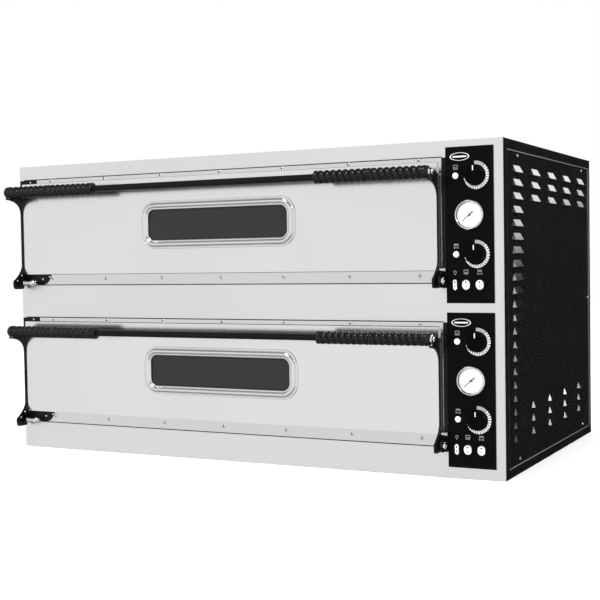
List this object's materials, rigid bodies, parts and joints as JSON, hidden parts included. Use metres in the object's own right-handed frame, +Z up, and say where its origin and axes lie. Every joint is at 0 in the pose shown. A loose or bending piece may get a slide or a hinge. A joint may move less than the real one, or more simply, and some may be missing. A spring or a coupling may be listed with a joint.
{
  "type": "countertop pizza oven",
  "caption": "Stacked electric deck oven: steel front, drop-down doors with long roped handles, dial thermometers, knobs and rockers, louvred black sides.",
  "frame": {"origin": "centre of the casing's underside, on the face it rests on", "axes": "+X along the front from the hinge corner with the long foot plate to the control panels, +Z up, and the front with the doors faces -Y"},
  "size_m": [1.3504, 0.8848, 0.75],
  "materials": {
    "front_steel": "brushed stainless sheet, satin, horizontal grain",
    "door_steel": "fine satin stainless sheet, slightly reflective",
    "bright_steel": "bright polished steel trim",
    "casing_black": "black powder coat, fine texture",
    "cast_black": "black enamelled cast arm and bracket, semi-gloss",
    "panel_black": "black printed control panel, satin",
    "grip_plastic": "black moulded phenolic, ribbed like a rope",
    "knob_plastic": "black moulded knob with a printed pointer",
    "pilot_lens": "clear white pilot lens",
    "rocker_plastic": "pale translucent rocker",
    "chamber_steel": "aluminised steel, heat toned",
    "oven_glass": "dark heat-resistant glass",
    "baking_stone": "pressed cordierite slab, fine grain",
    "mineral_wool": "mineral wool board",
    "element_sheath": "oxidised heating element sheath",
    "lamp_glass": "frosted oven lamp lens and can",
    "needle_black": "black painted needle",
    "gland_plastic": "black nylon gland"
  },
  "bodies": {
    "cabinet": {"front_fascia": "front_steel", "roof_panel": "casing_black", "base_panel": "casing_black", "back_panel": "casing_black", "right_side_panel": "casing_black", "left_side_panel": "casing_black", "cable_gland": "gland_plastic", "insulation": "mineral_wool", "lower_chamber": "chamber_steel", "lower_stone_floor": "baking_stone", "lower_bottom_element": "element_sheath", "lower_top_element": "element_sheath", "lower_chamber_lamp": "lamp_glass", "lower_hinge_bracket_left": "cast_black", "lower_hinge_bracket_right": "cast_black", "lower_control_panel": "panel_black", "lower_gauge_case": "bright_steel", "lower_pilot_bottom": "pilot_lens", "lower_pilot_top": "pilot_lens", "upper_chamber": "chamber_steel", "upper_stone_floor": "baking_stone", "upper_bottom_element": "element_sheath", "upper_top_element": "element_sheath", "upper_chamber_lamp": "lamp_glass", "upper_hinge_bracket_left": "cast_black", "upper_hinge_bracket_right": "cast_black", "upper_control_panel": "panel_black", "upper_gauge_case": "bright_steel", "upper_pilot_bottom": "pilot_lens", "upper_pilot_top": "pilot_lens"},
    "lower_door": {"lower_door_skin": "door_steel", "lower_door_liner": "chamber_steel", "lower_window_frame": "bright_steel", "lower_window_glass": "oven_glass", "lower_handle_bar": "cast_black", "lower_grip_left": "grip_plastic", "lower_grip_right": "grip_plastic", "lower_arm_left": "cast_black", "lower_arm_right": "cast_black"},
    "lower_knob_bottom_turn": {"lower_knob_bottom": "knob_plastic"},
    "lower_knob_top_turn": {"lower_knob_top": "knob_plastic"},
    "lower_gauge_needle_turn": {"lower_gauge_needle": "needle_black"},
    "lower_switch_lamp_rocker": {"lower_switch_lamp": "rocker_plastic"},
    "lower_switch_top_rocker": {"lower_switch_top": "rocker_plastic"},
    "lower_switch_bottom_rocker": {"lower_switch_bottom": "rocker_plastic"},
    "upper_door": {"upper_door_skin": "door_steel", "upper_door_liner": "chamber_steel", "upper_window_frame": "bright_steel", "upper_window_glass": "oven_glass", "upper_handle_bar": "cast_black", "upper_grip_left": "grip_plastic", "upper_grip_right": "grip_plastic", "upper_arm_left": "cast_black", "upper_arm_right": "cast_black"},
    "upper_knob_bottom_turn": {"upper_knob_bottom": "knob_plastic"},
    "upper_knob_top_turn": {"upper_knob_top": "knob_plastic"},
    "upper_gauge_needle_turn": {"upper_gauge_needle": "needle_black"},
    "upper_switch_lamp_rocker": {"upper_switch_lamp": "rocker_plastic"},
    "upper_switch_top_rocker": {"upper_switch_top": "rocker_plastic"},
    "upper_switch_bottom_rocker": {"upper_switch_bottom": "rocker_plastic"}
  },
  "joints": [
    {"name": "lower_door_hinge", "type": "hinge", "parent": "cabinet", "child": "lower_door", "pos_m": [-0.06835, -0.4145, 0.074], "axis": [1, 0, 0], "range_deg": [0, 90]},
    {"name": "lower_knob_bottom", "type": "hinge", "parent": "cabinet", "child": "lower_knob_bottom_turn", "pos_m": [0.6075, -0.4025, 0.132], "axis": [0, 1, 0], "range_deg": [0, 270]},
    {"name": "lower_knob_top", "type": "hinge", "parent": "cabinet", "child": "lower_knob_top_turn", "pos_m": [0.6075, -0.4025, 0.305], "axis": [0, 1, 0], "range_deg": [0, 270]},
    {"name": "lower_gauge_needle", "type": "hinge", "parent": "cabinet", "child": "lower_gauge_needle_turn", "pos_m": [0.5935, -0.4005, 0.2185], "axis": [0, 1, 0], "range_deg": [0, 270]},
    {"name": "lower_switch_lamp", "type": "hinge", "parent": "cabinet", "child": "lower_switch_lamp_rocker", "pos_m": [0.5585, -0.3925, 0.065], "axis": [-1, 0, 0], "range_deg": [0, 16]},
    {"name": "lower_switch_top", "type": "hinge", "parent": "cabinet", "child": "lower_switch_top_rocker", "pos_m": [0.584, -0.3925, 0.065], "axis": [-1, 0, 0], "range_deg": [0, 16]},
    {"name": "lower_switch_bottom", "type": "hinge", "parent": "cabinet", "child": "lower_switch_bottom_rocker", "pos_m": [0.6155, -0.3925, 0.065], "axis": [-1, 0, 0], "range_deg": [0, 16]},
    {"name": "upper_door_hinge", "type": "hinge", "parent": "cabinet", "child": "upper_door", "pos_m": [-0.06835, -0.4145, 0.44], "axis": [1, 0, 0], "range_deg": [0, 90]},
    {"name": "upper_knob_bottom", "type": "hinge", "parent": "cabinet", "child": "upper_knob_bottom_turn", "pos_m": [0.6075, -0.4025, 0.498], "axis": [0, 1, 0], "range_deg": [0, 270]},
    {"name": "upper_knob_top", "type": "hinge", "parent": "cabinet", "child": "upper_knob_top_turn", "pos_m": [0.6075, -0.4025, 0.671], "axis": [0, 1, 0], "range_deg": [0, 270]},
    {"name": "upper_gauge_needle", "type": "hinge", "parent": "cabinet", "child": "upper_gauge_needle_turn", "pos_m": [0.5935, -0.4005, 0.5845], "axis": [0, 1, 0], "range_deg": [0, 270]},
    {"name": "upper_switch_lamp", "type": "hinge", "parent": "cabinet", "child": "upper_switch_lamp_rocker", "pos_m": [0.5585, -0.3925, 0.431], "axis": [-1, 0, 0], "range_deg": [0, 16]},
    {"name": "upper_switch_top", "type": "hinge", "parent": "cabinet", "child": "upper_switch_top_rocker", "pos_m": [0.584, -0.3925, 0.431], "axis": [-1, 0, 0], "range_deg": [0, 16]},
    {"name": "upper_switch_bottom", "type": "hinge", "parent": "cabinet", "child": "upper_switch_bottom_rocker", "pos_m": [0.6155, -0.3925, 0.431], "axis": [-1, 0, 0], "range_deg": [0, 16]}
  ]
}
